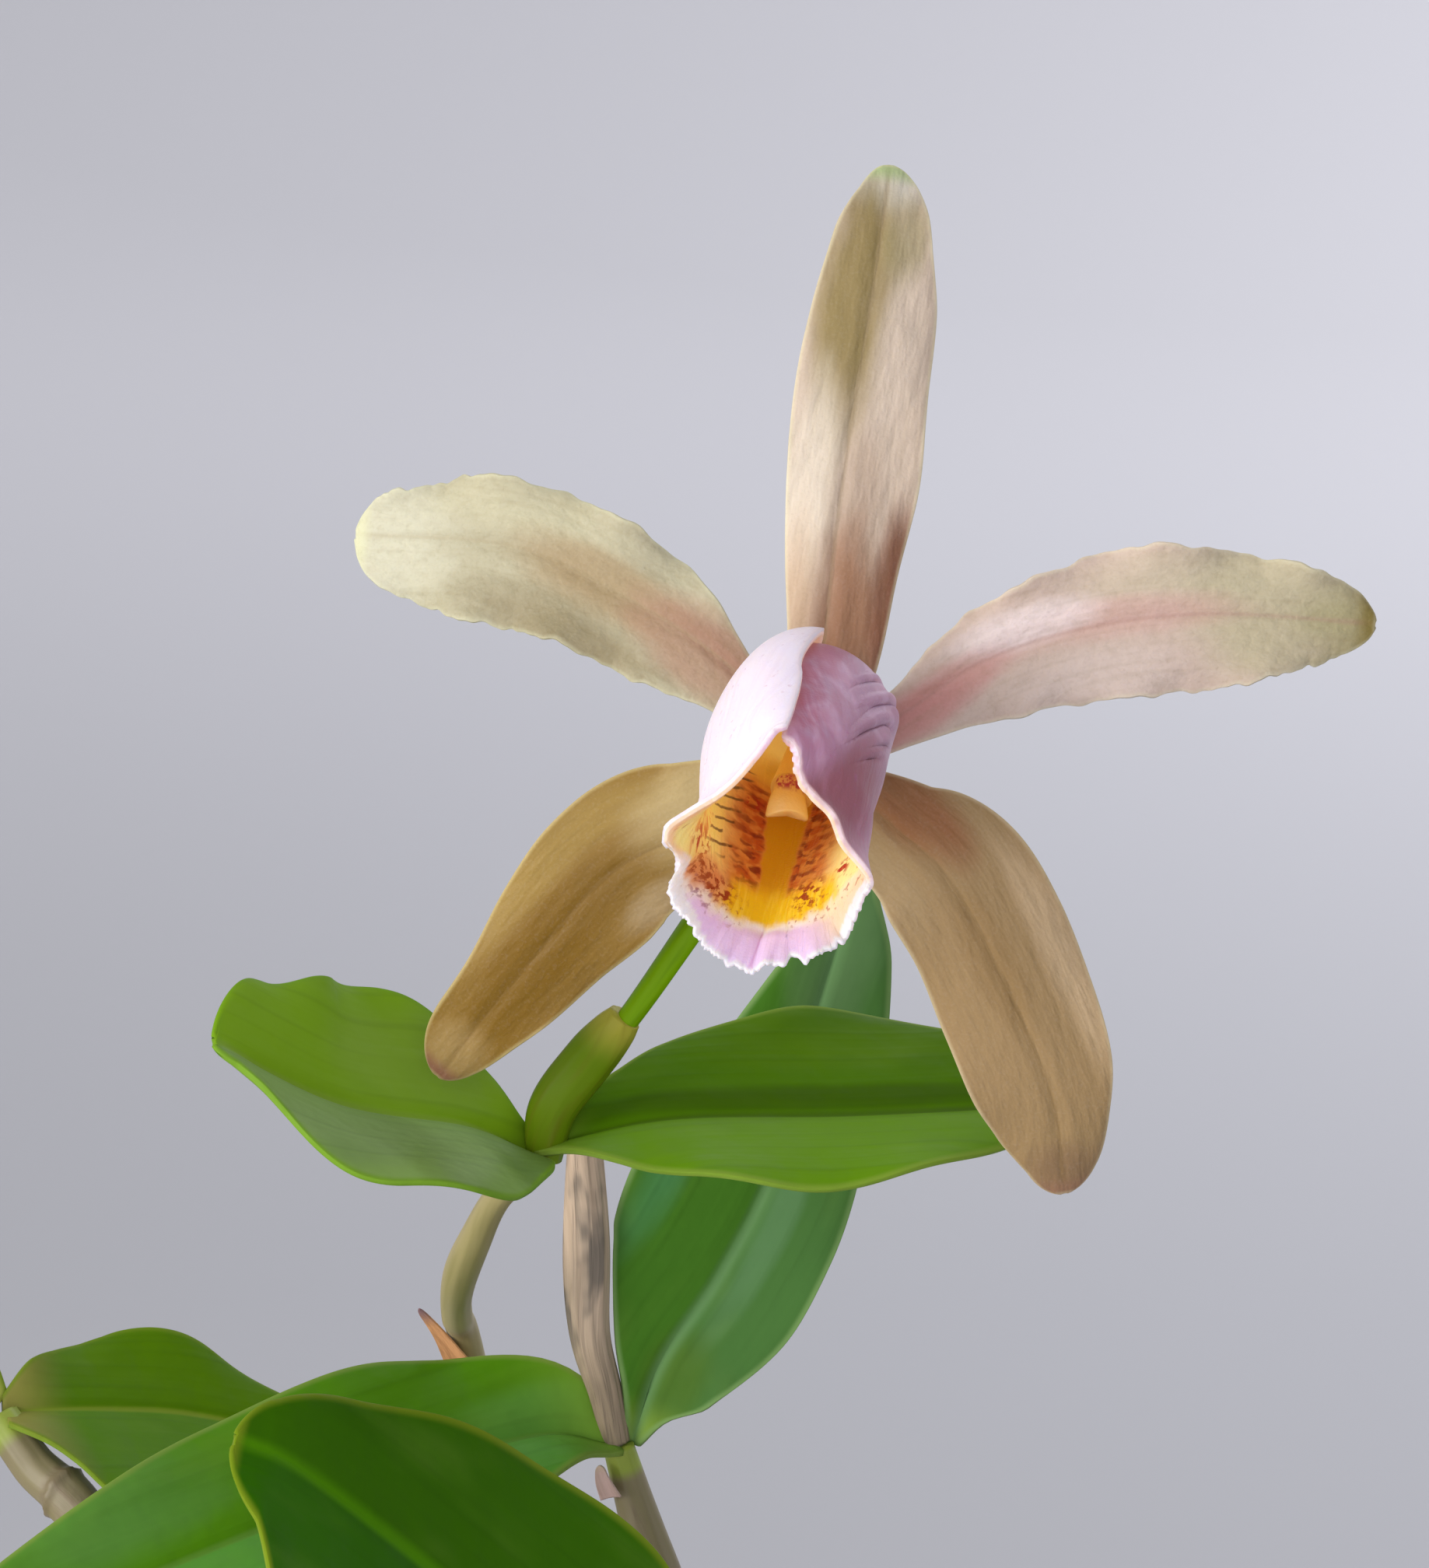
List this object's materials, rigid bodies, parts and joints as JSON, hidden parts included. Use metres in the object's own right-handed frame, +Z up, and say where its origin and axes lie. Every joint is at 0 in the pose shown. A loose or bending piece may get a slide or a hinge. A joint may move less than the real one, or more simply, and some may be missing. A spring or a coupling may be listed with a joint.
{
  "type": "potted cattleya orchid",
  "caption": "Cattleya orchid in flower: one bloom with brown-green sepals and a frilled, spotted, rolled lip, on leafy canes in a plain clay pot of bark.",
  "frame": {"origin": "middle of the pot's underside, on the surface that it stands on", "axes": "+Z up, the bloom faces -Y, +X to the right of someone who looks at the bloom"},
  "size_m": [0.2054, 0.1331, 0.3213],
  "materials": {
    "terracotta": "matte",
    "bark": "matte",
    "root": "matte",
    "cane": "satin",
    "dry_bract": "matte",
    "leaf": "gloss",
    "green_sheath": "satin",
    "flower_stalk": "satin",
    "column": "satin",
    "lip": "satin",
    "petal": "satin",
    "sepal": "satin"
  },
  "bodies": {
    "root": {"pot": "terracotta", "potting_bark": "bark", "rhizome": "root", "cane_front": "cane", "cane_back": "cane", "cane_left": "cane", "cane_low": "cane", "back_bulb": "cane", "leaf_right": "leaf", "leaf_left": "leaf", "leaf_back": "leaf", "leaf_low": "leaf", "leaf_far": "leaf", "leaf_outer": "leaf", "leaf_front": "leaf", "leaf_lowest": "leaf", "flower_sheath": "green_sheath", "pedicel": "flower_stalk", "dry_sheath": "dry_bract", "column": "column", "anther_cap": "column", "lip": "lip", "left_petal": "petal", "right_petal": "petal", "dorsal_sepal": "sepal", "left_sepal": "sepal", "right_sepal": "sepal"}
  },
  "joints": []
}
